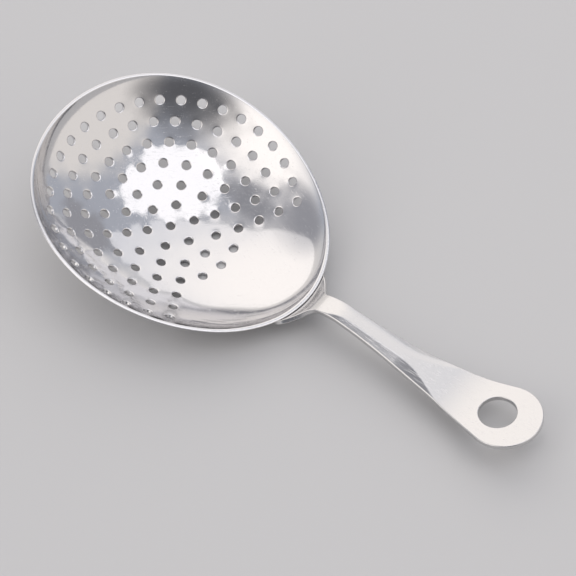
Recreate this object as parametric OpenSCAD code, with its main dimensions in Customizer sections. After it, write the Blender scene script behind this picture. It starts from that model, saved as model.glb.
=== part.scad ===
// Perforated bar ladle: an egg-shaped pressed bowl full of round holes, with a pressed handle
// whose saddle is joined to the outside of the bowl under the rim.
// The bowl frame has its origin on the inside of the bowl, in the middle of the hole pattern,
// with the handle along +X. The last step tips that frame into the pose in which the ladle
// balances on its round bottom, and sets it down on the plane z = 0.

/* [Bowl] */
// Length of the rim's opening along the handle's axis
bowl_length = 83.4; // [72:0.2:108]
// Width of the rim's opening across the handle's axis
bowl_width = 73.6; // [64:0.2:94]
// How far the rim's widest place is pushed towards the handle
rim_egg = 1.7; // [0:0.1:3]
// Distance from the middle of the hole pattern to the middle of the rim
rim_offset = 0.7; // [0:0.1:3]
// Depth of the bowl at the middle of the hole pattern
bowl_depth = 15.6; // [12:0.1:22]
// Angle at which the rim falls towards the handle
rim_fall = 2.2; // [0:0.1:4]
// Share of the bowl's section that is a parabola, the rest being steeper towards the wall
bowl_roundness = 0.74; // [0.4:0.01:0.9]
// Height that the upturned lip adds at the rim
lip_height = 1.75; // [0:0.05:2.5]
// Width over which that lip dies out
lip_width = 3.2; // [2.4:0.1:7]
// Thickness of the bowl's sheet
bowl_sheet = 0.9; // [0.7:0.1:1.5]

/* [Holes] */
// Diameter of the straining holes
hole_d = 2.4; // [1.6:0.1:3]
// Number of hole rings round the middle hole
rings = 6; // [3:1:6]
// Distance along the sheet from the middle hole to the first ring
ring_first = 6.8; // [5:0.1:7.5]
// Distance along the sheet from one ring to the next
ring_pitch = 6.06; // [4.5:0.02:6.2]
// Radius of the ball on which the rings are laid out
ring_ball = 52; // [45:1:70]
// First ring that leaves the plain field in front of the handle
plain_from = 4; // [2:1:6]
// Half angle of the plain field in front of the handle
plain_angle = 41; // [30:1:50]
// Angle by which the punched pattern is turned against the handle
pattern_turn = -3; // [-6:0.5:6]
// Least width of sheet between a hole and the rim. Holes without that room are left out
hole_margin = 1.2; // [0.8:0.1:6]

/* [Saddle] */
// Clearance between the saddle and the bowl, filled by the joint
seat_gap = 0.1; // [0.08:0.01:0.2]
// Width of the saddle along the rim
saddle_width = 20.6; // [16:0.2:26]
// Distance that the saddle reaches down the outside of the bowl
saddle_drop = 10; // [8:0.5:14]
// Distance above the rim over which the shoulders run into the neck
shoulder_rise = 6; // [4:0.5:9]
// Distance below the rim at which the shoulders start
shoulder_start = 1.5; // [1:0.5:4]

/* [Handle] */
// Thickness of the handle's sheet
handle_sheet = 1.4; // [0.9:0.1:2]
// Width of the handle at its narrowest place
neck_width = 6.2; // [5:0.2:10]
// Rise of the neck where it leaves the rim
neck_angle = 58; // [40:1:65]
// Length of the arch that turns the neck over into the shaft
neck_run = 14; // [10:0.5:24]
// Rise of the shaft after the arch
shaft_angle = 6.5; // [2:0.1:20]
// Length of the straight shaft
shaft_run = 33; // [15:0.5:60]
// Length of the bend between shaft and paddle
bend_run = 11; // [8:0.5:20]
// Rise of the paddle
paddle_angle = 21.1; // [12:0.1:36]
// Length of the flat paddle from the bend to the middle of its round end
paddle_run = 7; // [7:0.5:16]
// Radius of the paddle's round end
end_radius = 10; // [8:0.1:13]
// Angle at which the handle's edges widen where they meet the round end
flare_angle = 14.7; // [10:0.1:20]
// Width of the level top of the ridge pressed along the shaft
ridge_top = 2.8; // [1.6:0.1:4]
// Angle at which the ridge's two bevels slope down to the handle's edges
ridge_angle = 19; // [8:1:26]
// Length over which the bevels widen from the neck, and over which they run out before the paddle
ridge_fade = 12; // [8:0.5:18]
// Length of the shaft left between the ridge's end and the bend
ridge_stop = 0.5; // [0:0.5:6]
// Diameter of the hanging hole
hang_d = 10; // [6:0.1:11]
// Distance from the hanging hole back from the middle of the round end
hang_back = 2.1; // [0:0.1:2.5]

/* [Rest] */
// Angle at which the ladle balances, leaning towards its handle
rest_tilt = 12.5; // [8:0.1:16]

/* [Hidden] */

steel = [0.79, 0.80, 0.82];

// How finely the sheets are drawn
bowl_sectors = 72;
bowl_steps = 19;
handle_strips = 12;

// Bowl: rim outline, section and wall

lip_share = lip_height / bowl_depth;
lip_power = ln(0.1) / ln(1 - 2 * lip_width / bowl_length);
quartic_share = 1 - bowl_roundness - lip_share;

// Rim outline in plan at parameter t, and its rate of change by angle in radians
function rim_plan(t) = [
    rim_offset + bowl_length / 2 * cos(t) + rim_egg * cos(2 * t),
    bowl_width / 2 * sin(t)
];
function rim_rate(t) = [
    -bowl_length / 2 * sin(t) - 2 * rim_egg * sin(2 * t),
    bowl_width / 2 * cos(t)
];
// Height of the rim over the middle of the pattern
function rim_height(t) = bowl_depth - tan(rim_fall) * rim_plan(t)[0];

// Height of the section as a share of the rim's, at share q of the way out, with its slope
function section(q) =
    bowl_roundness * q ^ 2 + quartic_share * q ^ 4 + lip_share * q ^ lip_power;
function section_slope(q) =
    2 * bowl_roundness * q + 4 * quartic_share * q ^ 3
    + lip_share * lip_power * q ^ (lip_power - 1);
function section_over_q(q) =
    bowl_roundness * q + quartic_share * q ^ 3 + lip_share * q ^ (lip_power - 1);

// Point of the bowl's inside, and the unit normal that points into the bowl
function inside(q, t) =
    let (rim = rim_plan(t))
    [q * rim[0], q * rim[1], rim_height(t) * section(q)];
function outward_rate(q, t) =
    let (rim = rim_plan(t))
    [rim[0], rim[1], rim_height(t) * section_slope(q)];
function inward_normal(q, t) =
    let (rate = rim_rate(t))
    let (around = [rate[0], rate[1], -tan(rim_fall) * rate[0] * section_over_q(q)])
    unit(cross(outward_rate(q, t), around));
function unit(v) = v / norm(v);
function smooth(x) = let (k = min(1, max(0, x))) k * k * (3 - 2 * k);
function mix(a, b, k) = a * (1 - k) + b * k;

// Rim parameter whose point lies at the plan angle a, found by halving
function rim_at(a, low = -180, high = 180, left = 24) =
    left == 0 ? (low + high) / 2 :
    let (middle = (low + high) / 2, rim = rim_plan(middle))
    atan2(rim[1], rim[0]) < a ? rim_at(a, middle, high, left - 1) : rim_at(a, low, middle, left - 1);

// Shares of the way out at which the wall is drawn, closer together towards the lip
out_shares = [for (i = [1:bowl_steps]) let (u = i / bowl_steps) u + 0.15 * sin(180 * u)];
sector = 360 / bowl_sectors;

// Point of the sheet at a depth behind the bowl's inside. At the rim the sheet is cut off level
function in_sheet(q, t, depth) =
    let (normal = inward_normal(q, t), rate = outward_rate(q, t))
    let (up_the_wall = q < 1 ? [0, 0, 0] : rate * normal[2] / rate[2])
    inside(q, t) - depth * (normal - up_the_wall);
function bowl_skin(depth) = [
    inside(0, 0) - depth * [0, 0, 1],
    for (q = out_shares, j = [0:bowl_sectors - 1]) in_sheet(q, j * sector, depth)
];
bowl_points = concat(bowl_skin(0), bowl_skin(bowl_sheet));
skin_size = 1 + bowl_steps * bowl_sectors;
function skin_at(i, j) = 1 + i * bowl_sectors + j % bowl_sectors;

// Faces of one skin seen from above, as triangles
skin_faces = [
    for (j = [0:bowl_sectors - 1]) [0, skin_at(0, j + 1), skin_at(0, j)],
    for (i = [0:bowl_steps - 2], j = [0:bowl_sectors - 1])
        each [
            [skin_at(i, j), skin_at(i, j + 1), skin_at(i + 1, j + 1)],
            [skin_at(i, j), skin_at(i + 1, j + 1), skin_at(i + 1, j)]
        ]
];
edge_faces = [
    for (j = [0:bowl_sectors - 1])
        let (a = skin_at(bowl_steps - 1, j), b = skin_at(bowl_steps - 1, j + 1))
        each [[a, b, b + skin_size], [a, b + skin_size, a + skin_size]]
];
bowl_faces = concat(
    skin_faces,
    [for (f = skin_faces) [f[0] + skin_size, f[2] + skin_size, f[1] + skin_size]],
    edge_faces
);

// Hole pattern: ring k has 6k places, and from one ring on those near the handle stay empty

function ring_radius(k) = ring_ball * sin((ring_first + (k - 1) * ring_pitch) / ring_ball * 180 / PI);
function half_turn(a) = a > 180 ? a - 360 : a;
function rim_reach(a) = norm(rim_plan(rim_at(a)));
hole_places = [
    [0, 0],
    for (k = [1:rings], m = [0:6 * k - 1])
        let (a = half_turn(m * 60 / k), turned = half_turn(m * 60 / k + pattern_turn))
        let (in_field = k < plain_from || abs(a) > plain_angle)
        let (room = rim_reach(turned) - ring_radius(k) - hole_d / 2)
        if (in_field && room > hole_margin) [ring_radius(k), turned]
];

// Handle: the route of its sheet, its width and its ridge, along the run s from the rim

neck_turn = shaft_angle - neck_angle;
bend_turn = paddle_angle - shaft_angle;
route = [
    [neck_run, neck_turn],
    [shaft_run, 0],
    [bend_run, bend_turn],
    [paddle_run + end_radius, 0]
];
handle_run = neck_run + shaft_run + bend_run + paddle_run + end_radius;
end_middle = handle_run - end_radius;

// Middle of the sheet's upper face at run s, as [x, z, heading], walked along the route's pieces
function walk(s, at, i = 0) =
    let (piece = route[i], go = min(s, piece[0]), turn = piece[1] * go / piece[0])
    let (next = [
        at[0] + chord(go, turn) * cos(at[2] + turn / 2),
        at[1] + chord(go, turn) * sin(at[2] + turn / 2),
        at[2] + turn
    ])
    s <= piece[0] || i == len(route) - 1 ? next : walk(s - go, next, i + 1);
// Straight distance between the ends of an arc of that length and turn
function chord(length, turn) =
    abs(turn) < 0.01 ? length : 2 * length / (turn * PI / 180) * sin(turn / 2);

// Half width of the sheet at run s
flare_end = end_middle - end_radius * sin(flare_angle);
flare_width = end_radius * cos(flare_angle);
flare_start = max(shoulder_rise, flare_end - 2 * (flare_width - neck_width / 2) / tan(flare_angle));
saddle_round = shoulder_start + 1;
function half_width(s) =
    s <= -saddle_round ?
        saddle_width / 2 * sqrt(max(0, 1 - ((-s - saddle_round) / (saddle_drop - saddle_round)) ^ 2)) :
    s <= shoulder_rise ?
        mix(saddle_width, neck_width, smooth((s + shoulder_start) / (shoulder_rise + shoulder_start))) / 2 :
    s <= flare_start ? neck_width / 2 :
    s <= flare_end ?
        neck_width / 2 + (flare_width - neck_width / 2) * ((s - flare_start) / (flare_end - flare_start)) ^ 2 :
    sqrt(max(0, end_radius ^ 2 - (s - end_middle) ^ 2));

// Width of one bevel of the ridge at run s: all that the level top leaves, and less at both ends
ridge_end = neck_run + shaft_run - ridge_stop;
function bevel(s) =
    max(half_width(s) - ridge_top / 2, 0) *
    smooth((s - shoulder_rise / 4) / ridge_fade) * smooth((ridge_end - s) / ridge_fade);

// Upper face of the sheet at run s and distance v from the middle, with the ridge or as it is
// before the ridge is pressed. Up to the rim it lies on the bowl's outside. Past the rim that face
// runs on straight, and blends into the shaft.
saddle_rate = norm(outward_rate(0.93, 0));
function seat(q, t) = inside(q, t) - (bowl_sheet + seat_gap) * inward_normal(q, t);
function saddle_face(s, v) =
    let (t = rim_at(v / rim_plan(0)[0] * 180 / PI))
    s <= 0 ? seat(1 + s / saddle_rate, t) : seat(1, t) + s * unit(outward_rate(1, t));
seam = [seat(1, 0)[0], seat(1, 0)[2], neck_angle];
function shaft_face(s, v, ridged) =
    let (at = walk(max(s, 0), seam), inward = half_width(s) - abs(v))
    let (rise = ridged ? tan(ridge_angle) * min(inward, bevel(s)) : 0)
    [at[0] - rise * sin(at[2]), v, at[1] + rise * cos(at[2])];
function upper_face(s, v, ridged) =
    s <= 0 ? saddle_face(s, v) :
    mix(saddle_face(s, v), shaft_face(s, v, ridged), smooth(s / shoulder_rise));

// Runs at which the sheet is drawn
saddle_cap = [for (i = [1:7]) -saddle_round - (saddle_drop - saddle_round) * cos(i * 12)];
shoulder_marks = [for (i = [0:9]) mix(-saddle_round, shoulder_rise, i / 9)];
neck_marks = [for (i = [1:8]) mix(shoulder_rise, neck_run, i / 8)];
shaft_marks = [for (i = [1:12]) neck_run + shaft_run * i / 12];
bend_marks = [for (i = [1:7]) neck_run + shaft_run + bend_run * i / 7];
paddle_marks = [for (i = [1:2]) mix(neck_run + shaft_run + bend_run, flare_end, i / 2)];
end_cap = [for (i = [1:11]) end_middle + end_radius * sin(mix(-flare_angle, 84, i / 11))];
marks = concat(saddle_cap, shoulder_marks, neck_marks, shaft_marks, bend_marks, paddle_marks, end_cap);

// Distances from the middle at which the sheet is drawn: a quarter of the strips on each bevel,
// which stay an eighth of the half width where there is no bevel
edge_strips = handle_strips / 4;
function across(s) =
    let (edge = half_width(s), slope = max(bevel(s), edge / 8))
    [
        for (j = [0:handle_strips])
            let (k = j - handle_strips / 2, out = abs(k) / edge_strips)
            sign(k) * (out > 1 ? edge - slope * (2 - out) : (edge - slope) * out)
    ];
function face_grid(ridged) = [for (s = marks) [for (v = across(s)) upper_face(s, v, ridged)]];
upper = face_grid(true);
plain = face_grid(false);
last_mark = len(marks) - 1;
// The ridge is pressed square to the plain sheet, so the sheet's edges stay upright
function sheet_normal(i, j) =
    unit(cross(
        plain[min(last_mark, i + 1)][j] - plain[max(0, i - 1)][j],
        plain[i][min(handle_strips, j + 1)] - plain[i][max(0, j - 1)]
    ));
lower = [
    for (i = [0:last_mark]) [for (j = [0:handle_strips]) upper[i][j] - handle_sheet * sheet_normal(i, j)]
];

row = handle_strips + 1;
sheet_size = len(marks) * row;
handle_points = concat([for (line = upper) each line], [for (line = lower) each line]);
top_faces = [
    for (i = [0:last_mark - 1], j = [0:handle_strips - 1])
        let (a = i * row + j)
        each [[a, a + 1, a + row + 1], [a, a + row + 1, a + row]]
];
// Outline of the sheet as point numbers, in order round its edge
sheet_outline = concat(
    [for (i = [0:last_mark]) i * row],
    [for (j = [1:handle_strips]) last_mark * row + j],
    [for (i = [last_mark - 1:-1:0]) i * row + handle_strips],
    [for (j = [handle_strips - 1:-1:1]) j]
);
handle_faces = concat(
    top_faces,
    [for (f = top_faces) [f[0] + sheet_size, f[2] + sheet_size, f[1] + sheet_size]],
    [
        for (k = [0:len(sheet_outline) - 1])
            let (a = sheet_outline[k], b = sheet_outline[(k + 1) % len(sheet_outline)])
            each [[a, b, b + sheet_size], [a, b + sheet_size, a + sheet_size]]
    ]
);

// Rest pose: the frame is tipped, its lowest point goes to z = 0 and its middle to x = 0

function tipped(p) = [
    p[0] * cos(rest_tilt) + p[2] * sin(rest_tilt),
    -p[0] * sin(rest_tilt) + p[2] * cos(rest_tilt)
];
tipped_points = [for (p = concat(bowl_points, handle_points)) tipped(p)];
ground = min([for (p = tipped_points) p[1]]);
span_x = [min([for (p = tipped_points) p[0]]), max([for (p = tipped_points) p[0]])];

module at_rest() {
    translate([-(span_x[0] + span_x[1]) / 2, 0, -ground])
        rotate([0, rest_tilt, 0])
            children();
}

// Drill through the sheet at a point, along a direction
module drill(at, along, d, depth) {
    translate(at)
        rotate([0, acos(along[2]), atan2(along[1], along[0])])
            cylinder(d = d, h = depth, center = true, $fn = 24);
}

module bowl() {
    color(steel)
        at_rest()
            difference() {
                polyhedron(bowl_points, bowl_faces, convexity = 6);
                for (place = hole_places) {
                    t = rim_at(place[1]);
                    q = place[0] / rim_reach(place[1]);
                    along = inward_normal(q, t);
                    drill(inside(q, t) - along * bowl_sheet / 2, along, hole_d, 4 * bowl_sheet);
                }
            }
}

module handle() {
    hang_at = walk(end_middle - hang_back, seam);
    along = [-sin(paddle_angle), 0, cos(paddle_angle)];
    color(steel)
        at_rest()
            difference() {
                polyhedron(handle_points, handle_faces, convexity = 6);
                drill([hang_at[0], 0, hang_at[1]] - along * handle_sheet / 2, along, hang_d, 4 * handle_sheet);
            }
}

bowl();
handle();
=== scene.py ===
"""Perforated bar ladle in polished stainless steel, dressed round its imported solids.

The ladle is two pressed sheets: an egg-shaped bowl full of straining holes, and a handle whose
saddle is brazed to the bowl's outer wall. Each sheet replaces its solid and is worked out from
formulas of the same form, but finely, with rolled hole edges and rounded sheared edges. Under the
rim and along the ridge it lies up to 0.6 mm off the solid, where the steel's reflections ask for it.
Sizes are in millimetres in the pressing's frame: its origin is the inside of the bowl in the
middle of the hole pattern, with the handle along +X. RestPose sets that frame down in metres.
"""

import logging
from dataclasses import dataclass, field
from enum import Enum
from typing import Callable

import bpy
import numpy as np
from mathutils import Matrix, Vector
from mathutils.geometry import delaunay_2d_cdt


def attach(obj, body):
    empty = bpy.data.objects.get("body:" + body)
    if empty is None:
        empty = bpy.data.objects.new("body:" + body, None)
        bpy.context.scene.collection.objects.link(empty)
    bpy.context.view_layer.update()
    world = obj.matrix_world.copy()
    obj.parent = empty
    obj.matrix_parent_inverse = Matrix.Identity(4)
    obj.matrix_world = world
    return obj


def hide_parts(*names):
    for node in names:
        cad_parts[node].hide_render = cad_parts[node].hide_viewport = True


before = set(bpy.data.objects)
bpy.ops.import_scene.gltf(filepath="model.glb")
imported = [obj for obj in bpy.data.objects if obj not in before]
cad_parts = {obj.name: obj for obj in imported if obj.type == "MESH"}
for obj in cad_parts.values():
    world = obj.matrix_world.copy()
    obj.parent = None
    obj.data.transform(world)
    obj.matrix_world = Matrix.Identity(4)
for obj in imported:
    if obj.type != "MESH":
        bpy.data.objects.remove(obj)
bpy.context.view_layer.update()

Array = np.ndarray
Skin = Callable[[Array], tuple[Array, Array, Array]]
Colour = tuple[float, float, float, float]

MM = 0.001
# Long shallow waves of the pressed wall: direction in radians, wavelength and phase.
WAVES = ((0.3, 17.0, 0.4), (1.4, 13.0, 2.1), (2.3, 19.0, 4.0), (2.9, 11.0, 5.2), (0.9, 23.0, 1.3))
# Tint of the lit parts of the studio and of the unlit ones.
WARM = "#FFFAF6"
COOL = "#F5F6FF"
# Least length that a vector is divided by, and distance under which two points are one.
TINY = 1e-12
MERGE = 1e-7
# Number of points that are measured against all the holes at a time.
BLOCK = 4000
log = logging.getLogger("ladle")


def smooth(x: Array | float) -> Array:
    """Rise from 0 to 1 with level ends: three x squared less two x cubed, held outside 0 to 1."""
    k = np.clip(x, 0.0, 1.0)
    return k * k * (3 - 2 * k)


def unit(v: Array) -> Array:
    """Vectors of length one along the last axis."""
    return v / np.maximum(np.linalg.norm(v, axis=-1, keepdims=True), TINY)


def dot(a: Array, b: Array) -> Array:
    """Scalar products of rows of vectors, kept as a column."""
    return (a * b).sum(-1, keepdims=True)


def inside_loop(loop: Array, points: Array) -> Array:
    """Whether points lie inside a closed loop: a ray to the right crosses it an odd number of times.

    Args:
        loop: Rows of x and y of the loop's corners.
        points: Rows of x and y.

    Returns:
        One truth value for each point.
    """
    a, b = loop[None], np.roll(loop, -1, 0)[None]
    x, y = points[:, None, 0], points[:, None, 1]
    spans = (a[..., 1] > y) != (b[..., 1] > y)
    rise = np.where(spans, b[..., 1] - a[..., 1], 1.0)
    crossing = a[..., 0] + (y - a[..., 1]) / rise * (b[..., 0] - a[..., 0])
    return (spans & (x < crossing)).sum(1) % 2 == 1


class Edge(Enum):
    """How a sheet's edge is finished: roll width and depth at the front, then at the back."""

    RIM = (0.20, 0.30, 0.36, 0.42)
    STRAINING_HOLE = (0.36, 0.22, 0.16, 0.16)
    HANDLE = (0.28, 0.30, 0.30, 0.30)
    HANGING_HOLE = (0.24, 0.24, 0.20, 0.20)

    def profile(self, thickness: float, steps: int) -> Array:
        """Section of the edge, from the front face round to the back face.

        Each roll is a quarter of an ellipse and a straight wall joins them.

        Args:
            thickness: The sheet's thickness.
            steps: Number of faces round each roll.

        Returns:
            Rows of outward way, depth, and the section normal's outward and upward parts.
        """
        front_width, front_depth, back_width, back_depth = self.value
        a = np.linspace(0, np.pi / 2, steps + 1)
        front = np.stack(
            [
                front_width * np.sin(a),
                front_depth * (1 - np.cos(a)),
                front_depth * np.sin(a),
                front_width * np.cos(a),
            ],
            1,
        )
        b = a[::-1]
        back = np.stack(
            [
                front_width - back_width + back_width * np.sin(b),
                thickness - back_depth * (1 - np.cos(b)),
                back_depth * np.sin(b),
                -back_width * np.cos(b),
            ],
            1,
        )
        rows = np.concatenate([front, back])
        rows[:, 2:] = unit(rows[:, 2:])
        return rows


@dataclass(frozen=True)
class RestPose:
    """The lean at which the ladle balances on its round bottom.

    Attributes:
        tilt_deg: Angle by which the pressing's frame leans towards the handle.
        shift_mm: Place of that frame's origin in the row frame, along X and Z.
    """

    tilt_deg: float = 12.5
    shift_mm: tuple[float, float] = (-42.380, 3.130)

    def turned(self, v: Array) -> Array:
        """Directions of the pressing's frame in the row frame: a turn about Y by the tilt."""
        c, s = np.cos(np.radians(self.tilt_deg)), np.sin(np.radians(self.tilt_deg))
        return np.stack([v[..., 0] * c + v[..., 2] * s, v[..., 1], v[..., 2] * c - v[..., 0] * s], -1)

    def placed(self, p: Array) -> Array:
        """Points of the pressing's frame in the row frame, in metres."""
        return (self.turned(p) + [self.shift_mm[0], 0.0, self.shift_mm[1]]) * MM


@dataclass
class PressedSheet:
    """A sheet of one thickness whose front face is a function of two parameters.

    Attributes:
        skin: Gives the front face's points and unit normals at rows of parameters, and the
            direction in which the sheet's thickness is measured.
        thickness: The sheet's thickness.
        outline: Parameters of the outer loop, with the sheet on the left.
        outline_edge: Finish of the outer edge.
        holes: Parameters of each hole's loop, with the sheet on the left.
        hole_edge: Finish of the hole edges.
        inner: Parameters of the points between the loops.
        cut_level: Whether the outer edge is cut off level in the pressing's frame.
        steps: Faces round each roll of an edge.
    """

    skin: Skin
    thickness: float
    outline: Array
    outline_edge: Edge
    holes: list[Array]
    hole_edge: Edge
    inner: Array
    cut_level: bool = False
    steps: int = 4

    def fill(self) -> tuple[Array, list[Array]]:
        """Triangles between the loops, by constrained Delaunay triangulation of the parameters.

        A triangle with all its corners on one hole's loop lies in that hole and is left out.

        Returns:
            The triangles as rows of three point numbers, and each loop as point numbers.
        """
        loops, start = [], 0
        for loop in (self.outline, *self.holes):
            loops.append(np.arange(start, start + len(loop)))
            start += len(loop)
        points = np.concatenate([self.outline, *self.holes, self.inner])
        ring = np.stack([loops[0], np.roll(loops[0], -1)], -1)
        _, _, faces, origin, _, _ = delaunay_2d_cdt(
            [Vector(p) for p in points.tolist()], ring.tolist(), [], 0, MERGE, True
        )
        first = np.array([o[0] for o in origin])
        triangles = first[np.array(faces)]
        triangles = triangles[inside_loop(self.outline, points[triangles].mean(1))]
        owner = np.full(len(points), -1)
        for number, loop in enumerate(loops[1:]):
            owner[loop] = number
        first_hole, second_hole, third_hole = owner[triangles].T
        in_hole = (first_hole >= 0) & (first_hole == second_hole) & (second_hole == third_hole)
        triangles = triangles[~in_hole]
        a, b, c = (points[triangles[:, k]] for k in range(3))
        turned = np.cross(b - a, c - a) < 0
        triangles[turned] = triangles[turned][:, ::-1]
        return triangles, loops

    def edge_rows(self, number: int, p: Array, n: Array, w: Array) -> tuple[Array, Array]:
        """Rows of points and normals round the edge along one loop, from front face to back face.

        The edge's section is drawn in a slanted pair of directions: one lies in the face and
        points off the sheet, the other one runs through the thickness. Where the edge is cut
        level, the second one is slanted along the first until it is level. The normals use the
        pair square to those two.

        Args:
            number: The loop's number, which is 0 for the outer one.
            p: Points of the front face along the loop.
            n: Unit normals there.
            w: Directions of the thickness there.

        Returns:
            Points and unit normals, as rows of the section by points of the loop by three.
        """
        edge = self.outline_edge if number == 0 else self.hole_edge
        rows = edge.profile(self.thickness, self.steps)
        along = unit(np.roll(p, -1, 0) - np.roll(p, 1, 0))
        out = unit(np.cross(along, n))
        out = out / dot(out, unit(np.cross(along, w)))
        if self.cut_level and number == 0:
            w = w - out * w[:, 2:] / out[:, 2:]
        cross_term = dot(out, w)
        out_dual = out * dot(w, w) - w * cross_term
        w_dual = w * dot(out, out) - out * cross_term
        ring = p[None] + rows[:, 0, None, None] * out[None] - rows[:, 1, None, None] * w[None]
        lean = unit(rows[:, 2, None, None] * out_dual[None] + rows[:, 3, None, None] * w_dual[None])
        return ring, lean

    def build(self, name: str, pose: RestPose) -> bpy.types.Object:
        """The closed sheet as an object: front face, back face, and a rolled edge along each loop.

        The back face is the front face moved by the thickness.

        Args:
            name: Name of the object and its mesh.
            pose: Where the sheet goes.

        Returns:
            The object, at the origin, with its normals taken from the formulas.
        """
        triangles, loops = self.fill()
        params = np.concatenate([self.outline, *self.holes, self.inner])
        front, normal, through = self.skin(params)
        size = len(front)
        points = [front, front - self.thickness * through]
        normals = [normal, -normal]
        faces = [triangles, triangles[:, ::-1] + size]
        start = 2 * size
        for number, loop in enumerate(loops):
            ring, lean = self.edge_rows(number, front[loop], normal[loop], through[loop])
            points[1][loop] = ring[-1]
            count, length = len(ring) - 2, len(loop)
            points.append(ring[1:-1].reshape(-1, 3))
            normals.append(lean[1:-1].reshape(-1, 3))
            numbers = np.concatenate(
                [loop[None], start + np.arange(count * length).reshape(count, length), loop[None] + size]
            )
            after = np.roll(numbers, -1, 1)
            quads = np.stack([numbers[:-1], numbers[1:], after[1:], after[:-1]], -1).reshape(-1, 4)
            faces.append(quads)
            start += count * length
        mesh = bpy.data.meshes.new(name)
        placed = pose.placed(np.concatenate(points))
        mesh.from_pydata(placed.tolist(), [], [f for block in faces for f in block.tolist()])
        mesh.polygons.foreach_set("use_smooth", np.ones(len(mesh.polygons), bool))
        mesh.normals_split_custom_set_from_vertices(pose.turned(unit(np.concatenate(normals))).tolist())
        mesh.update()
        piece = bpy.data.objects.new(name, mesh)
        bpy.context.scene.collection.objects.link(piece)
        return piece


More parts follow.
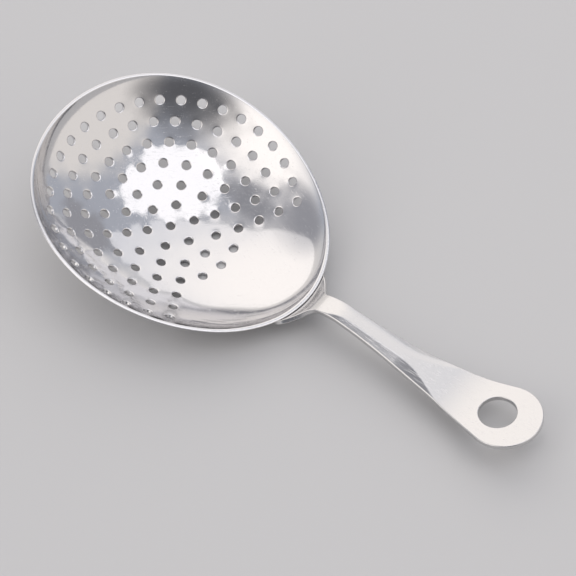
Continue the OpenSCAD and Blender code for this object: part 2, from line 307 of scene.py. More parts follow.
@dataclass
class Bowl:
    """The egg-shaped bowl: a shallow round section over an egg-shaped rim, with a short lip.

    Attributes:
        length: Length of the rim's ellipse, along X.
        width: Width of the rim.
        egg: Size of the second harmonic that makes the rim egg-shaped.
        offset: Middle of the ellipse, along X.
        depth: Height of the rim over the inside of the bottom, at the frame's origin.
        fall_deg: Fall of the rim towards the handle.
        roundness: Share of the parabola in the section.
        lip_height: Height of the section's lip term.
        lip_width: Distance from the rim at which lip_left of the lip term is left.
        lip_left: What is left of it there, as a share.
        sheet: Thickness of the sheet.
        hole_d: Diameter of the straining holes.
        rings: Number of rings of holes round the middle one.
        ring_first: Distance of the first ring from the middle, along the wall.
        ring_pitch: Distance from ring to ring, along the wall.
        ring_ball: Radius of the ball on which those distances are laid out.
        plain_from: First ring that leaves out the sector next to the handle.
        plain_deg: Half the angle of that sector.
        pattern_turn_deg: Turn of the whole pattern of holes.
        dimple_depth: Depth to which punching draws the sheet down round a hole.
        dimple_radius: Radius of that dimple.
        wave_height: Height of the long waves.
        rim_rate: Length along the wall of one whole share of the way out, at the rim.
        rim_points: Number of points on the rim's loop.
        hole_points: Number of points on a hole's loop.
        newton_steps: Steps in which a hole's loop is brought onto the wall.
        spacing: Distance between the points of the face.
        row_share: Distance between rings of points, as a share of the spacing.
        ring_least: Least number of points on such a ring.
        lip_closer: How much closer the rings of points lie at the lip, as a share.
        lip_from: Share of the way out at which they begin to close up.
        lip_over: Share of the way out over which they close up.
        ring_reach: Share of the way out past which no further ring of points begins.
        last_ring: Share of the way out beyond which no ring of points lies.
        collars: Circles of points round each hole: distance from its loop, and step along it.
        collar_reach: Share of the way out up to which the points of collars are kept.
        hole_clear: Distance from a hole's loop that the rings of points keep.
        table_t: Rim parameters.
        table_a: Plan angles of the rim at those parameters.
    """

    length: float = 83.4
    width: float = 73.6
    egg: float = 1.7
    offset: float = 0.7
    depth: float = 15.6
    fall_deg: float = 2.2
    roundness: float = 0.72
    lip_height: float = 1.0
    lip_width: float = 4.0
    lip_left: float = 0.1
    sheet: float = 0.9
    hole_d: float = 2.4
    rings: int = 6
    ring_first: float = 6.8
    ring_pitch: float = 6.06
    ring_ball: float = 52.0
    plain_from: int = 4
    plain_deg: float = 41.0
    pattern_turn_deg: float = -3.0
    dimple_depth: float = 0.07
    dimple_radius: float = 2.9
    wave_height: float = 0.012
    rim_rate: float = 48.0
    rim_points: int = 480
    hole_points: int = 28
    newton_steps: int = 4
    spacing: float = 0.9
    row_share: float = 0.86
    ring_least: int = 6
    lip_closer: float = 0.6
    lip_from: float = 0.82
    lip_over: float = 0.12
    ring_reach: float = 0.988
    last_ring: float = 0.992
    collars: tuple[tuple[float, int], ...] = ((0.3, 1), (0.75, 2))
    collar_reach: float = 0.985
    hole_clear: float = 1.1
    table_t: Array = field(init=False, repr=False)
    table_a: Array = field(init=False, repr=False)

    def __post_init__(self) -> None:
        """Tabulate the plan angle of the rim against its parameter."""
        samples = 14401
        self.table_t = np.radians(np.linspace(-180, 180, samples))
        x, y = self.rim_plan(self.table_t)
        self.table_a = np.unwrap(np.arctan2(y, x))

    def rim_plan(self, t: Array) -> tuple[Array, Array]:
        """Rim outline: an ellipse with a second harmonic along X that makes it egg-shaped."""
        x = self.offset + self.length / 2 * np.cos(t) + self.egg * np.cos(2 * t)
        return x, self.width / 2 * np.sin(t)

    def rim_height(self, t: Array) -> Array:
        """Height of the rim, which falls towards the handle at a set angle."""
        return self.depth - np.tan(np.radians(self.fall_deg)) * self.rim_plan(t)[0]

    def shares(self) -> tuple[float, float, float]:
        """Shares and power of the section's higher terms.

        The lip term is a power of the share q of the way out. The power is the logarithm of
        what is left of the lip over that of the q at which it is left.

        Returns:
            Shares of the fourth power and of the lip term, and the lip term's power.
        """
        lip = self.lip_height / self.depth
        power = np.log(self.lip_left) / np.log(1 - 2 * self.lip_width / self.length)
        return 1 - self.roundness - lip, lip, power

    def section(self, q: Array) -> Array:
        """Height as a share of the rim's: a parabola, a fourth power and a steep lip term."""
        quartic, lip, power = self.shares()
        return self.roundness * q**2 + quartic * q**4 + lip * q**power

    def at(self, q: Array, t: Array) -> tuple[Array, Array]:
        """Points and unit normals of the inside at share q of the way out and rim parameter t.

        The normal is the cross product of the rates of change outwards and around.

        Args:
            q: Shares of the way out.
            t: Rim parameters.

        Returns:
            Points and unit normals.
        """
        quartic, lip, power = self.shares()
        x, y = self.rim_plan(t)
        height = self.rim_height(t)
        point = np.stack([q * x, q * y, height * self.section(q)], -1)
        slope = 2 * self.roundness * q + 4 * quartic * q**3 + lip * power * q ** (power - 1)
        over_q = self.roundness * q + quartic * q**3 + lip * q ** (power - 1)
        rate_x = -self.length / 2 * np.sin(t) - 2 * self.egg * np.sin(2 * t)
        rate_y = self.width / 2 * np.cos(t)
        outward = np.stack([x + 0 * q, y + 0 * q, height * slope], -1)
        fall = np.tan(np.radians(self.fall_deg))
        around = np.stack([rate_x + 0 * q, rate_y + 0 * q, -fall * rate_x * over_q], -1)
        return point, unit(np.cross(outward, around))

    def polar(self, plan: Array) -> tuple[Array, Array]:
        """Share of the way out and rim parameter of plan points, from the table of rim angles.

        Args:
            plan: Rows of x and y.

        Returns:
            The shares, held a little above 0 because the middle has no angle, and the parameters.
        """
        least = 1e-4
        angle = np.arctan2(plan[..., 1], plan[..., 0])
        t = np.interp(angle, self.table_a, self.table_t)
        x, y = self.rim_plan(t)
        return np.maximum(np.hypot(plan[..., 0], plan[..., 1]) / np.hypot(x, y), least), t

    def wall(self, plan: Array) -> tuple[Array, Array]:
        """Inside points and normals over plan points, as the die forms them."""
        return self.at(*self.polar(plan))

    def skin(self, plan: Array) -> tuple[Array, Array, Array]:
        """Inside points and normals with the marks that punching and buffing leave in the sheet.

        Round each hole the sheet is drawn down by the dimple's depth times the cube of: one less
        the square of the distance over the dimple's radius. Long shallow waves cross the whole
        bowl. A normal leans by the slope of these marks along the wall.

        Args:
            plan: Rows of x and y.

        Returns:
            Points, leant normals, and the normals along which the thickness is measured.
        """
        point, normal = self.wall(plan)
        centre, _ = self.wall(self.hole_centres())
        down, lean = np.zeros(point.shape[:-1]), np.zeros(point.shape)
        for block in np.array_split(np.arange(len(point)), 1 + len(point) // BLOCK):
            apart = point[block, None] - centre[None]
            left = np.clip(1 - (apart**2).sum(-1) / self.dimple_radius**2, 0, None)
            down[block] = self.dimple_depth * (left**3).sum(1)
            rate = -6 * self.dimple_depth * left**2 / self.dimple_radius**2
            lean[block] = (rate[..., None] * apart).sum(1)
        for turn, length, phase in WAVES:
            way = np.array([np.cos(turn), np.sin(turn), 0.0]) * 2 * np.pi / length
            down += self.wave_height * np.sin(point @ way + phase)
            lean += self.wave_height * np.cos(point @ way + phase)[..., None] * way
        lean -= dot(lean, normal) * normal
        return point - down[..., None] * normal, unit(normal + lean), normal

    def hole_centres(self) -> Array:
        """Plan places of the holes: ring k has six k, less those in the plain sector.

        Returns:
            Rows of x and y.
        """
        places = [(0.0, 0.0)]
        for k in range(1, self.rings + 1):
            radius = self.ring_ball * np.sin((self.ring_first + (k - 1) * self.ring_pitch) / self.ring_ball)
            for m in range(6 * k):
                angle = m * 60 / k
                if k < self.plain_from or min(angle, 360 - angle) > self.plain_deg:
                    places.append((radius, np.radians(angle + self.pattern_turn_deg)))
        radius, angle = np.array(places).T
        return np.stack([radius * np.cos(angle), radius * np.sin(angle)], -1)

    def hole_loops(self, radius: float) -> Array:
        """Plan loops of circles drawn square to the wall round each hole's centre.

        A circle in the plane that touches the wall at the centre is moved along that plane's
        normal onto the wall by Newton's steps. It runs clockwise, with the sheet on the left.

        Args:
            radius: Radius of the circles.

        Returns:
            Parameters, as holes by points by two.
        """
        centre, normal = self.wall(self.hole_centres())
        first = unit(np.cross([0.0, 1.0, 0.0], normal))
        second = np.cross(normal, first)
        a = -np.arange(self.hole_points) * 2 * np.pi / self.hole_points
        spokes = np.cos(a)[None, :, None] * first[:, None] + np.sin(a)[None, :, None] * second[:, None]
        flat = centre[:, None] + radius * spokes
        rise = np.zeros(flat.shape[:2])
        for _ in range(self.newton_steps):
            point = flat + rise[..., None] * normal[:, None]
            wall, slope = self.wall(point[..., :2])
            gap = ((wall - point) * slope).sum(-1)
            rise += gap / (slope * normal[:, None]).sum(-1)
        return (flat + rise[..., None] * normal[:, None])[..., :2]

    def ring_points(self) -> Array:
        """Rings of points from the middle out to the rim, closer together at the lip.

        From ring to ring the share of the way out grows by their distance over the rim's mean
        half size. Every second ring is turned by half the angle between its points.

        Returns:
            Rows of x and y.
        """
        rings = []
        q, number = 0.0, 0
        half = (self.length + self.width) / 4
        while q < self.ring_reach:
            closer = 1.0 - self.lip_closer * smooth((q - self.lip_from) / self.lip_over)
            q += self.spacing * closer / half * self.row_share
            count = max(self.ring_least, round(2 * np.pi * q * half / self.spacing))
            angle = (np.arange(count) + 0.5 * (number % 2)) * 2 * np.pi / count
            share = min(q, self.last_ring)
            rx, ry = self.rim_plan(angle)
            rings.append(np.stack([share * rx, share * ry], -1))
            number += 1
        return np.concatenate(rings)

    def sheet_form(self) -> PressedSheet:
        """The bowl's sheet: rim loop, hole loops, collars round the holes, and rings of points.

        The collars carry the dimples. Ring points that come near a hole are left out.

        Returns:
            The sheet, not yet a mesh.
        """
        t = np.linspace(0, 2 * np.pi, self.rim_points, endpoint=False)
        within = 1 - Edge.RIM.value[0] / self.rim_rate
        outline = within * np.stack(self.rim_plan(t), -1)
        radius = self.hole_d / 2 + Edge.STRAINING_HOLE.value[0]
        loops = self.hole_loops(radius)
        collars = [self.hole_loops(radius + way)[:, ::step] for way, step in self.collars]
        collars = np.concatenate([c.reshape(-1, 2) for c in collars])
        collars = collars[self.polar(collars)[0] < self.collar_reach]
        rings = self.ring_points()
        at, _ = self.wall(rings)
        holes, _ = self.wall(self.hole_centres())
        clear = np.ones(len(rings), bool)
        for block in np.array_split(np.arange(len(rings)), 1 + len(rings) // BLOCK):
            apart = np.linalg.norm(at[block, None] - holes[None], axis=-1)
            clear[block] = apart.min(1) > radius + self.hole_clear
        return PressedSheet(
            self.skin,
            self.sheet,
            outline,
            Edge.RIM,
            list(loops),
            Edge.STRAINING_HOLE,
            np.concatenate([collars, rings[clear]]),
            cut_level=True,
        )


@dataclass
class Handle:
    """The handle: a saddle that lies on the bowl, an arched neck, a ridged shaft and a paddle.

    Runs are lengths along the handle from the rim, less than 0 on the saddle, and headings are
    angles over the frame's X axis.

    Attributes:
        bowl: The bowl that the saddle lies on.
        seat_gap: Gap between saddle and bowl, where the braze is.
        saddle_width: Width of the saddle.
        saddle_drop: Length of the saddle below the rim.
        saddle_even: Length of even width between the saddle's oval and the shoulders.
        saddle_shares: Shares of the way out between which the wall is measured for the saddle.
        shoulder_rise: Run at which the shoulders have narrowed to the neck.
        shoulder_start: Length before the rim from which they narrow.
        sheet: Thickness of the sheet.
        neck_width: Width of the neck.
        neck_deg: Heading of the neck at the rim.
        neck_run: Length of the neck's arc.
        shaft_deg: Heading of the shaft.
        shaft_run: Length of the straight shaft.
        bend_run: Length of the arc between shaft and paddle.
        paddle_deg: Heading of the paddle.
        paddle_run: Length from that arc to the middle of the round end.
        end_radius: Radius of the round end.
        flare_deg: Angle of the widening edges where they meet the round end.
        ridge_top: Width of the ridge's level top.
        ridge_deg: Slope of the bevels.
        ridge_from: Run at which the ridge begins.
        ridge_rise: Length over which it comes up.
        ridge_fall: Length over which the bevels run out.
        ridge_over: Length past the shaft at which they have run out.
        crease_near: Half width of the round of the crease where v is below 0.
        crease_far: Half width of the round of the other crease.
        crest_fall: Length over which the level top comes down.
        crest_over: Length past the shaft at which it is down.
        hang_d: Diameter of the hanging hole.
        hang_back: Distance of its middle from that of the round end.
        rim_step: Small share of the way out that gives the wall's direction at the rim.
        spacing: Distance between the points of the face.
        loop_share: Distance between points of the outer loop, as a share of the spacing.
        grid_start: Distance of the first row of points from the saddle's lower end.
        grid_half: Half the width of the grid, which is more than the handle's.
        loop_clear: Distance that grid points keep from the outer loop, as a share of the spacing.
        row_clear: The same from the hanging hole and the rows along the creases.
        crease_rows: Distances from a crease at which rows of points run along it.
        crease_clear: Distance that those rows keep from the rolled edge.
        hole_points: Number of points on the hanging hole's loop.
    """

    bowl: Bowl
    seat_gap: float = 0.1
    saddle_width: float = 20.6
    saddle_drop: float = 10.0
    saddle_even: float = 1.0
    saddle_shares: tuple[float, float] = (0.929, 0.931)
    shoulder_rise: float = 6.0
    shoulder_start: float = 1.5
    sheet: float = 1.4
    neck_width: float = 6.2
    neck_deg: float = 58.0
    neck_run: float = 14.0
    shaft_deg: float = 6.5
    shaft_run: float = 33.0
    bend_run: float = 11.0
    paddle_deg: float = 21.1
    paddle_run: float = 7.0
    end_radius: float = 10.0
    flare_deg: float = 14.7
    ridge_top: float = 2.8
    ridge_deg: float = 20.0
    ridge_from: float = 5.5
    ridge_rise: float = 11.0
    ridge_fall: float = 18.0
    ridge_over: float = 3.0
    crease_near: float = 0.3
    crease_far: float = 1.3
    crest_fall: float = 30.0
    crest_over: float = 15.0
    hang_d: float = 10.0
    hang_back: float = 2.1
    rim_step: float = 0.0005
    spacing: float = 0.6
    loop_share: float = 0.75
    grid_start: float = 0.3
    grid_half: float = 14.0
    loop_clear: float = 0.55
    row_clear: float = 0.5
    crease_rows: tuple[float, ...] = (-0.3, 0.0, 0.3)
    crease_clear: float = 0.2
    hole_points: int = 96

    def __post_init__(self) -> None:
        """Work out the run's landmarks, where it leaves the rim, and the wall's rate at the saddle.

        That rate is the length along the wall of one whole share of the way out.
        """
        self.end_middle = self.neck_run + self.shaft_run + self.bend_run + self.paddle_run
        self.hang_at = self.end_middle - self.hang_back
        self.ridge_end = self.neck_run + self.shaft_run + self.ridge_over
        flare = np.radians(self.flare_deg)
        self.flare_end = self.end_middle - self.end_radius * np.sin(flare)
        self.flare_width = self.end_radius * np.cos(flare)
        self.flare_start = self.flare_end - 2 * (self.flare_width - self.neck_width / 2) / np.tan(flare)
        seam = self.seat(np.array(1.0), np.array(0.0))
        self.seam = (seam[0], seam[2])
        inner, outer = self.saddle_shares
        point, _ = self.bowl.at(np.array([inner, outer]), np.zeros(2))
        self.saddle_rate = np.linalg.norm(point[1] - point[0]) / (outer - inner)

    def seat(self, q: Array, t: Array) -> Array:
        """Points of the bowl's outside, moved off it by the seat's gap."""
        point, normal = self.bowl.at(q, t)
        return point - (self.bowl.sheet + self.seat_gap) * normal

    def walk(self, s: Array) -> tuple[Array, Array, Array]:
        """Place in the upright middle plane and heading at run s: arcs and straights in a row.

        An arc's chord is its length times the sine of half its turn over half its turn, and
        it points along the mean of the headings at its ends.

        Args:
            s: Runs.

        Returns:
            X, Z and the heading at each run.
        """
        endless = 1e6
        pieces = (
            (self.neck_run, self.shaft_deg - self.neck_deg),
            (self.shaft_run, 0.0),
            (self.bend_run, self.paddle_deg - self.shaft_deg),
            (endless, 0.0),
        )
        x, z = np.full(s.shape, self.seam[0]), np.full(s.shape, self.seam[1])
        heading, left = np.full(s.shape, np.radians(self.neck_deg)), s.astype(float)
        for length, turn in pieces:
            go = np.clip(left, 0, length)
            bend = np.radians(turn) * go / length
            chord = go * np.sinc(bend / 2 / np.pi)
            x = x + chord * np.cos(heading + bend / 2)
            z = z + chord * np.sin(heading + bend / 2)
            heading = heading + bend
            left = left - go
        return x, z, heading

    def half_width(self, s: Array) -> Array:
        """Half width at run s: oval saddle, shoulders, even neck, widening flare and round end.

        The saddle is half an ellipse, the shoulders a smooth step, the flare a square of the
        run and the end a circle.

        Args:
            s: Runs.

        Returns:
            The half width at each run.
        """
        round_at = self.shoulder_start + self.saddle_even
        reach = self.saddle_drop - round_at
        saddle = self.saddle_width / 2 * np.sqrt(np.clip(1 - ((-s - round_at) / reach) ** 2, 0, None))
        k = smooth((s + self.shoulder_start) / (self.shoulder_rise + self.shoulder_start))
        shoulder = (self.saddle_width * (1 - k) + self.neck_width * k) / 2
        share = np.clip((s - self.flare_start) / (self.flare_end - self.flare_start), 0, None)
        flare = self.neck_width / 2 + (self.flare_width - self.neck_width / 2) * share**2
        end = np.sqrt(np.clip(self.end_radius**2 - (s - self.end_middle) ** 2, 0, None))
        places = [s <= -round_at, s <= self.shoulder_rise, s <= self.flare_end]
        return np.select(places, [saddle, shoulder, flare], end)

    def bevel(self, s: Array) -> Array:
        """Width of one bevel at run s: all that the level top leaves, and less at both ends.

        Args:
            s: Runs.

        Returns:
            The width at each run.
        """
        up = smooth((s - self.ridge_from) / self.ridge_rise)
        down = smooth((self.ridge_end - s) / self.ridge_fall)
        return np.clip(self.half_width(s) - self.ridge_top / 2, 0, None) * up * down

    def crest(self, s: Array) -> Array:
        """Height of the level top at run s: the bevels' on the neck, let down slowly to the paddle.

        The top stays nearly straight where the bevels run out, because the edges come up to it.

        Args:
            s: Runs.

        Returns:
            The height over the plain sheet at each run.
        """
        height = np.tan(np.radians(self.ridge_deg)) * (self.neck_width - self.ridge_top) / 2
        up = smooth((s - self.ridge_from) / self.ridge_rise)
        down = smooth((self.neck_run + self.shaft_run + self.crest_over - s) / self.crest_fall)
        return height * up * down

    def ridge(self, s: Array, v: Array) -> Array:
        """Height of the ridge: the crest's, less the bevel's slope times the way still to climb.

        Each crease is rounded: where the way in and the bevel's width differ by less than the
        crease's width, the climb is less by the square of what is left, over four widths. The
        buffing wheel left the crease where v is below 0 sharp and rounded the other one.

        Args:
            s: Runs.
            v: Distances from the middle.

        Returns:
            The height over the plain sheet.
        """
        least = 1e-6
        inward, bevel = self.half_width(s) - np.abs(v), self.bevel(s)
        crease = np.minimum(np.where(v < 0, self.crease_near, self.crease_far), bevel) + least
        left = np.clip(crease - np.abs(inward - bevel), 0, None)
        climb = np.minimum(inward, bevel) - left**2 / crease / 4 - bevel
        return self.crest(s) + np.tan(np.radians(self.ridge_deg)) * climb

    def face(self, params: Array, ridged: bool = True) -> Array:
        """Points of the upper face at run s and distance v from the middle.

        Up to the rim they lie on the bowl's outside. Past it that face runs straight on, and
        over the shoulders it turns into the arched section of the shaft.

        Args:
            params: Rows of s and v.
            ridged: Whether the ridge is pressed in yet.

        Returns:
            The points.
        """
        s, v = params[..., 0], params[..., 1]
        t = np.interp(v / self.bowl.rim_plan(np.array(0.0))[0], self.bowl.table_a, self.bowl.table_t)
        on = np.minimum(s, 0)
        point = self.seat(1 + on / self.saddle_rate, t)
        ahead, _ = self.bowl.at(np.full(s.shape, 1 + self.rim_step), t)
        behind, _ = self.bowl.at(np.full(s.shape, 1 - self.rim_step), t)
        point = point + np.maximum(s, 0)[..., None] * unit(ahead - behind)
        x, z, heading = self.walk(np.maximum(s, 0))
        rise = ridged * self.ridge(s, v)
        shaft = np.stack([x - rise * np.sin(heading), v, z + rise * np.cos(heading)], -1)
        k = smooth(s / self.shoulder_rise)[..., None]
        return point * (1 - k) + shaft * k

    def facing(self, params: Array, ridged: bool) -> Array:
        """Unit normals of the upper face, from central differences along both parameters.

        Args:
            params: Rows of s and v.
            ridged: Whether the ridge is pressed in yet.

        Returns:
            The normals.
        """
        step = 0.02
        ds, dv = np.array([step, 0.0]), np.array([0.0, step])
        along = self.face(params + ds, ridged) - self.face(params - ds, ridged)
        across = self.face(params + dv, ridged) - self.face(params - dv, ridged)
        return unit(np.cross(along, across))

    def skin(self, params: Array) -> tuple[Array, Array, Array]:
        """Upper face, its normals, and those of the plain sheet that the ridge is pressed into."""
        return self.face(params), self.facing(params, True), self.facing(params, False)

    def outline(self) -> Array:
        """Loop round the handle, evenly spaced and moved in by the edge's roll.

        The half width is sampled along the run, mirrored, spaced out by arc length and moved
        against the loop's outward normal.

        Returns:
            Rows of s and v.
        """
        samples = 6001
        first, last = -self.saddle_drop, self.end_middle + self.end_radius
        turn = np.linspace(0, np.pi, samples)
        s = first + (last - first) * (1 - np.cos(turn)) / 2
        w = self.half_width(s)
        w[0] = w[-1] = 0.0
        loop = np.concatenate([np.stack([s, -w], -1), np.stack([s, w], -1)[-2:0:-1]])
        closed = np.concatenate([loop, loop[:1]])
        way = np.concatenate([[0], np.cumsum(np.linalg.norm(np.diff(closed, axis=0), axis=1))])
        count = round(way[-1] / (self.loop_share * self.spacing))
        at = np.arange(count) * way[-1] / count
        even = np.stack([np.interp(at, way, closed[:, k]) for k in range(2)], -1)
        along = unit(np.roll(even, -1, 0) - np.roll(even, 1, 0))
        return even - Edge.HANDLE.value[0] * np.stack([along[:, 1], -along[:, 0]], -1)

    def crease_points(self) -> Array:
        """Rows of points along both creases, as far as the rolled edge leaves room for them.

        Returns:
            Rows of s and v.
        """
        run = np.arange(self.shoulder_rise, self.ridge_end, self.spacing / 2)
        crease = self.half_width(run) - self.bevel(run)
        rows = [np.stack([run, side * (crease + way)], -1) for side in (-1, 1) for way in self.crease_rows]
        rows = np.concatenate(rows)
        room = self.half_width(rows[:, 0]) - Edge.HANDLE.value[0] - self.crease_clear
        return rows[np.abs(rows[:, 1]) < room]

    def sheet_form(self) -> PressedSheet:
        """The handle's sheet: its loop, the hanging hole, rows along the creases and a grid.

        Returns:
            The sheet, not yet a mesh.
        """
        outline = self.outline()
        creases = self.crease_points()
        radius = self.hang_d / 2 + Edge.HANGING_HOLE.value[0]
        a = -np.arange(self.hole_points) * 2 * np.pi / self.hole_points
        hole = np.stack([self.hang_at + radius * np.cos(a), radius * np.sin(a)], -1)
        last = self.end_middle + self.end_radius
        s = np.arange(-self.saddle_drop + self.grid_start, last, self.spacing)
        v = np.arange(-self.grid_half, self.grid_half, self.spacing)
        grid = np.stack(np.meshgrid(s, v, indexing="ij"), -1)
        grid[::2, :, 1] += self.spacing / 2
        grid = grid.reshape(-1, 2)
        grid = grid[np.abs(grid[:, 1]) < self.half_width(grid[:, 0]) - Edge.HANDLE.value[0]]
        from_loop = np.linalg.norm(grid[:, None] - outline[None], axis=-1).min(1)
        from_crease = np.linalg.norm(grid[:, None] - creases[None], axis=-1).min(1)
        from_hole = np.hypot(grid[:, 0] - self.hang_at, grid[:, 1])
        keep = from_loop > self.loop_clear * self.spacing
        keep &= from_crease > self.row_clear * self.spacing
        keep &= from_hole > radius + self.row_clear * self.spacing
        inner = np.concatenate([grid[keep], creases])
        return PressedSheet(self.skin, self.sheet, outline, Edge.HANDLE, [hole], Edge.HANGING_HOLE, inner)


def linear(hex_colour: str) -> Colour:
    """An sRGB hex colour as linear RGB with alpha 1."""
    values = [int(hex_colour[i : i + 2], 16) / 255 for i in (1, 3, 5)]
    return (*(v / 12.92 if v <= 0.04045 else ((v + 0.055) / 1.055) ** 2.4 for v in values), 1.0)


def add_node(
    tree: bpy.types.NodeTree, kind: str, inputs: dict[str | int, object], **settings: object
) -> bpy.types.Node:
    """Add a node, set its settings, and fill its inputs with values or links.

    Args:
        tree: The node tree.
        kind: The node's type name.
        inputs: Input names or numbers, each with a value or an output socket.
        **settings: Attributes of the node.

    Returns:
        The new node.
    """
    node = tree.nodes.new(kind)
    for name, value in settings.items():
        setattr(node, name, value)
    for key, value in inputs.items():
        if isinstance(value, bpy.types.NodeSocket):
            tree.links.new(value, node.inputs[key])
        else:
            node.inputs[key].default_value = value
    return node


@dataclass(frozen=True)
class PolishedSteel:
    """Stainless steel 18/8, pressed and buffed: bright, with haze and fine wheel scratches.

    Attributes:
        name: The material's name.
        colour: The metal's own colour.
        roughness: Mean roughness of the buffed face.
        haze: How much the roughness wanders from place to place.
        haze_mm: Size of a patch of haze.
        haze_range: Values of the haze's noise that give the least and the most roughness.
        scratch_mm: Width and length of a buffing scratch. A real one is some hundredths of a
            millimetre wide, and is drawn as coarse as it needs to show.
        scratch_turn_deg: Direction of the scratches from +X.
        scratch_cross_deg: Angle between the two sets of scratches.
        scratch_depth: Strength of the scratches' bump.
        bump_mm: Height of that bump at full strength.
        streak_range: Sums of the two sets' noise at which a dull streak begins and is full.
        streak_rough: Roughness that a full streak adds.
    """

    name: str
    colour: str = "#D6D5D6"
    roughness: float = 0.06
    haze: float = 0.04
    haze_mm: float = 6.0
    haze_range: tuple[float, float] = (0.3, 0.7)
    scratch_mm: tuple[float, float] = (0.25, 7.0)
    scratch_turn_deg: float = 20.0
    scratch_cross_deg: float = 65.0
    scratch_depth: float = 0.012
    bump_mm: float = 0.05
    streak_range: tuple[float, float] = (1.05, 1.3)
    streak_rough: float = 0.22

    def material(self) -> bpy.types.Material:
        """The node material: a metal whose roughness and bump follow haze and scratches.

        Returns:
            The material.
        """
        material = bpy.data.materials.new(self.name)
        material.use_nodes = True
        tree = material.node_tree
        tree.nodes.clear()
        place = add_node(tree, "ShaderNodeTexCoord", {}).outputs["Object"]
        across, along = (1 / (size * MM) for size in self.scratch_mm)
        scratches = []
        for turn in (self.scratch_turn_deg, self.scratch_turn_deg - self.scratch_cross_deg):
            spin = {"Vector": place, "Rotation": (0, 0, np.radians(turn))}
            turned = add_node(tree, "ShaderNodeMapping", spin).outputs["Vector"]
            stretch = {"Vector": turned, "Scale": (along, across, across)}
            long_way = add_node(tree, "ShaderNodeMapping", stretch).outputs["Vector"]
            grain = {"Vector": long_way, "Scale": 1.0, "Detail": 2.0, "Roughness": 0.6}
            scratches.append(add_node(tree, "ShaderNodeTexNoise", grain).outputs["Fac"])
        sets = {0: scratches[0], 1: scratches[1]}
        both = add_node(tree, "ShaderNodeMath", sets, operation="ADD").outputs[0]
        patches = {"Vector": place, "Scale": 1 / (self.haze_mm * MM), "Detail": 4.0, "Roughness": 0.65}
        haze = add_node(tree, "ShaderNodeTexNoise", patches).outputs["Fac"]
        rough = add_node(
            tree,
            "ShaderNodeMapRange",
            {
                "Value": haze,
                "From Min": self.haze_range[0],
                "From Max": self.haze_range[1],
                "To Min": self.roughness - self.haze / 2,
                "To Max": self.roughness + self.haze / 2,
            },
        ).outputs["Result"]
        streak = add_node(
            tree,
            "ShaderNodeMapRange",
            {
                "Value": both,
                "From Min": self.streak_range[0],
                "From Max": self.streak_range[1],
                "To Min": 0.0,
                "To Max": self.streak_rough,
            },
        ).outputs["Result"]
        rough = add_node(tree, "ShaderNodeMath", {0: rough, 1: streak}, operation="ADD").outputs[0]
        relief = {"Height": both, "Strength": self.scratch_depth, "Distance": self.bump_mm * MM}
        bump = add_node(tree, "ShaderNodeBump", relief).outputs["Normal"]
        steel = add_node(
            tree,
            "ShaderNodeBsdfPrincipled",
            {"Base Color": linear(self.colour), "Metallic": 1.0, "Roughness": rough, "Normal": bump},
        )
        add_node(tree, "ShaderNodeOutputMaterial", {"Surface": steel.outputs["BSDF"]})
        return material


# The bowl was buffed in two crossing directions, and mirrors the studio with a fine haze.
BOWL_FINISH = PolishedSteel("buffed_steel_bowl", scratch_depth=0.06)
# The handle was buffed along its length, which blurs what it mirrors into soft fields.
HANDLE_FINISH = PolishedSteel(
    "buffed_steel_handle",
    colour="#D0CFCF",
    roughness=0.13,
    scratch_mm=(0.3, 12.0),
    scratch_turn_deg=3.0,
    scratch_cross_deg=6.0,
    scratch_depth=0.09,
)


def hung(azimuth_deg: float, zenith_deg: float, distance: float, turn_deg: float) -> Matrix:
    """Place of a flat thing that faces the ladle from afar.

    Args:
        azimuth_deg: Its direction from +X towards +Y.
        zenith_deg: Its angle from straight up.
        distance: Its distance from the ladle in metres.
        turn_deg: Its turn about its own axis.

    Returns:
        The matrix that takes its own frame, with +Z away from the ladle, into the row frame.
    """
    az, zen = np.radians(azimuth_deg), np.radians(zenith_deg)
    way = Vector((np.sin(zen) * np.cos(az), np.sin(zen) * np.sin(az), np.cos(zen)))
    turn = Matrix.Rotation(np.radians(turn_deg), 4, "Z")
    return Matrix.Translation(way * distance) @ way.to_track_quat("Z", "Y").to_matrix().to_4x4() @ turn


@dataclass(frozen=True)
class Glow:
    """A soft round patch of the studio's surroundings, brighter or darker than the rest.

    Attributes:
        name: What of the studio it stands for.
        azimuth_deg: Direction of its middle from +X towards +Y.
        zenith_deg: Angle of its middle from straight up.
        full_deg: Angle from the middle up to which it is even.
        none_deg: Angle from the middle at which it has faded out.
        level: Brightness, where 1 is white.
        colour: Its tint.
    """

    name: str
    azimuth_deg: float
    zenith_deg: float
    full_deg: float
    none_deg: float
    level: float
    colour: str

    def over(
        self, tree: bpy.types.NodeTree, way: bpy.types.NodeSocket, under: Colour | bpy.types.NodeSocket
    ) -> bpy.types.NodeSocket:
        """Lay the patch over a colour of the world.

        Its share is a smooth step of the cosine of the angle from its middle, between the
        cosines of the angles at which it is full and at which it has faded out.

        Args:
            tree: The world's node tree.
            way: The direction looked at.
            under: The colour below, as a value or a socket.

        Returns:
            The mixed colour.
        """
        middle = hung(self.azimuth_deg, self.zenith_deg, distance=1.0, turn_deg=0.0).translation
        near = add_node(tree, "ShaderNodeVectorMath", {0: way, 1: middle}, operation="DOT_PRODUCT")
        share = add_node(
            tree,
            "ShaderNodeMapRange",
            {
                "Value": near.outputs["Value"],
                "From Min": np.cos(np.radians(self.none_deg)),
                "From Max": np.cos(np.radians(self.full_deg)),
            },
            interpolation_type="SMOOTHSTEP",
        ).outputs["Result"]
        light = tuple(self.level * value for value in linear(self.colour))
        mix = add_node(tree, "ShaderNodeMix", {"Factor": share, 6: under, 7: light}, data_type="RGBA")
        return mix.outputs[2]


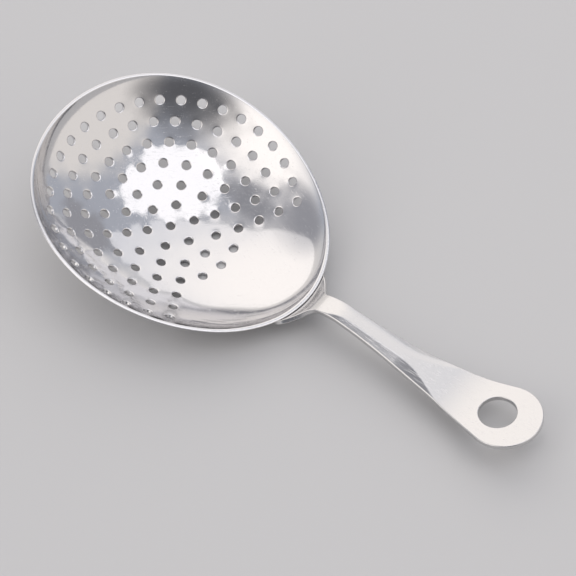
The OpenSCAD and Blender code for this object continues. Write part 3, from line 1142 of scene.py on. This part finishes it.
@dataclass(frozen=True)
class Softbox:
    """An elliptical studio lamp that faces the ladle.

    Attributes:
        name: The lamp's name.
        azimuth_deg: Direction of the lamp from +X towards +Y.
        zenith_deg: Angle of the lamp from straight up.
        distance: Distance from the ladle in metres.
        size: Lengths of the ellipse's two axes in metres.
        level: Brightness of its face, where 1 is white.
        turn_deg: Turn of the ellipse about its own axis.
        colour: The tint of its light.
    """

    name: str
    azimuth_deg: float
    zenith_deg: float
    distance: float
    size: tuple[float, float]
    level: float
    turn_deg: float = 0.0
    colour: str = WARM

    def build(self) -> None:
        """Hang the lamp. Its power is its level times pi times the area of the ellipse."""
        lamp = bpy.data.lights.new(self.name, "AREA")
        lamp.shape = "ELLIPSE"
        lamp.size, lamp.size_y = self.size
        lamp.color = linear(self.colour)[:3]
        lamp.energy = self.level * np.pi * self.size[0] * self.size[1] * np.pi / 4
        box = bpy.data.objects.new(self.name, lamp)
        box.matrix_world = hung(self.azimuth_deg, self.zenith_deg, self.distance, self.turn_deg)
        bpy.context.scene.collection.objects.link(box)


@dataclass
class Studio:
    """Pale floor, two soft lamps, a world of soft patches and the camera at the photo's angle.

    Attributes:
        floor_colour: The floor's paint.
        floor_half: Half the side of the floor in metres.
        floor_roughness: Roughness of the matt paint.
        world_colour: The world where no patch lies.
        glows: The world's patches, in the order in which they are laid.
        lamps: The lamps.
        camera_at: Place of the camera in metres, fitted to the rim and the holes as seen.
        camera_looks: Unit vector of the way it looks.
        camera_right: Unit vector to its right.
        lens: Its focal length in millimetres.
        sensor: Width of its sensor in millimetres.
        clip: Nearest and furthest distance that it sees, in metres.
    """

    floor_colour: str = "#C9C9CA"
    floor_half: float = 3.0
    floor_roughness: float = 0.7
    world_colour: str = "#C1C5CF"
    # Name, azimuth, zenith, full, none, level and colour of each patch.
    glows: tuple[Glow, ...] = (
        Glow("front_reflector", 255, 55, 10, 50, 1.55, WARM),
        Glow("left_reflector", 150, 55, 5, 50, 1.0, WARM),
        Glow("back_reflector", 100, 90, 0, 25, 1.25, WARM),
        Glow("right_reflector", 10, 90, 40, 55, 1.0, WARM),
        Glow("black_flag", 80, 70, 10, 15, 0.45, COOL),
        Glow("grey_flag", 200, 50, 0, 25, 0.45, COOL),
        Glow("unlit_side", 310, 65, 0, 45, 0.15, COOL),
        Glow("front_lamp", 235, 45, 0, 10, 1.55, WARM),
        Glow("ceiling_gap", 210, 20, 0, 15, 0.4, COOL),
    )
    # Name, azimuth, zenith, distance, size, level and turn of each lamp.
    lamps: tuple[Softbox, ...] = (
        Softbox("ceiling_softbox", 135, 45, 2.5, (4.0, 2.6), 0.45),
        Softbox("overhead_softbox", 35, 15, 2.5, (1.8, 2.6), 0.95, 35),
    )
    camera_at: tuple[float, float, float] = (0.213238, -0.278326, 0.473262)
    camera_looks: tuple[float, float, float] = (-0.368157, 0.476708, -0.798254)
    camera_right: tuple[float, float, float] = (0.794840, 0.606805, -0.004205)
    lens: float = 136.535
    sensor: float = 36.0
    clip: tuple[float, float] = (0.01, 50.0)

    def floor(self) -> None:
        """The matt painted square that the ladle rests on."""
        mesh = bpy.data.meshes.new("studio_floor")
        signs = ((-1, -1), (1, -1), (1, 1), (-1, 1))
        corners = [(x * self.floor_half, y * self.floor_half, 0.0) for x, y in signs]
        mesh.from_pydata(corners, [], [(0, 1, 2, 3)])
        floor = bpy.data.objects.new("studio_floor", mesh)
        bpy.context.scene.collection.objects.link(floor)
        material = bpy.data.materials.new("studio_floor_paint")
        material.use_nodes = True
        tree = material.node_tree
        tree.nodes.clear()
        finish = {"Base Color": linear(self.floor_colour), "Roughness": self.floor_roughness}
        paint = add_node(tree, "ShaderNodeBsdfPrincipled", finish)
        add_node(tree, "ShaderNodeOutputMaterial", {"Surface": paint.outputs["BSDF"]})
        mesh.materials.append(material)

    def world(self) -> None:
        """A pale world with its patches laid over it in order."""
        world = bpy.data.worlds.new("studio_world")
        world.use_nodes = True
        tree = world.node_tree
        tree.nodes.clear()
        way = add_node(tree, "ShaderNodeTexCoord", {}).outputs["Generated"]
        colour = linear(self.world_colour)
        for glow in self.glows:
            colour = glow.over(tree, way, colour)
        back = add_node(tree, "ShaderNodeBackground", {"Color": colour, "Strength": 1.0})
        add_node(tree, "ShaderNodeOutputWorld", {"Surface": back.outputs["Background"]})
        bpy.context.scene.world = world

    def camera(self) -> None:
        """The camera, from its place, the way it looks and the way to its right."""
        data = bpy.data.cameras.new("studio_camera")
        data.lens = self.lens
        data.sensor_width = self.sensor
        data.clip_start, data.clip_end = self.clip
        camera = bpy.data.objects.new("studio_camera", data)
        back = -Vector(self.camera_looks)
        right = Vector(self.camera_right)
        up = back.cross(right)
        turned = Matrix((right, up, back)).transposed().to_4x4()
        camera.matrix_world = Matrix.Translation(self.camera_at) @ turned
        bpy.context.scene.collection.objects.link(camera)
        bpy.context.scene.camera = camera

    def build(self) -> None:
        """Set up the floor, the world, the lamps and the camera."""
        self.floor()
        self.world()
        self.camera()
        for lamp in self.lamps:
            lamp.build()
        bpy.context.scene.view_settings.view_transform = "Standard"


def dress(piece: bpy.types.Object, node: str, finish: PolishedSteel) -> None:
    """Give a sheet its finish, let it ride on the root body and stand for its solid.

    Args:
        piece: The sheet's object.
        node: The solid that it stands for.
        finish: The sheet's finish.
    """
    piece.data.materials.append(finish.material())
    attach(piece, "root")
    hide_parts(node)
    log.info("%s: %d faces", piece.name, len(piece.data.polygons))


def main() -> None:
    """Build the studio and the two sheets."""
    logging.basicConfig(level=logging.INFO, format="%(name)s: %(message)s")
    Studio().build()
    pose = RestPose()
    bowl = Bowl()
    handle = Handle(bowl)
    dress(bowl.sheet_form().build("strainer_bowl", pose), "bowl", BOWL_FINISH)
    dress(handle.sheet_form().build("ladle_handle", pose), "handle", HANDLE_FINISH)


if __name__ == "__main__":
    main()
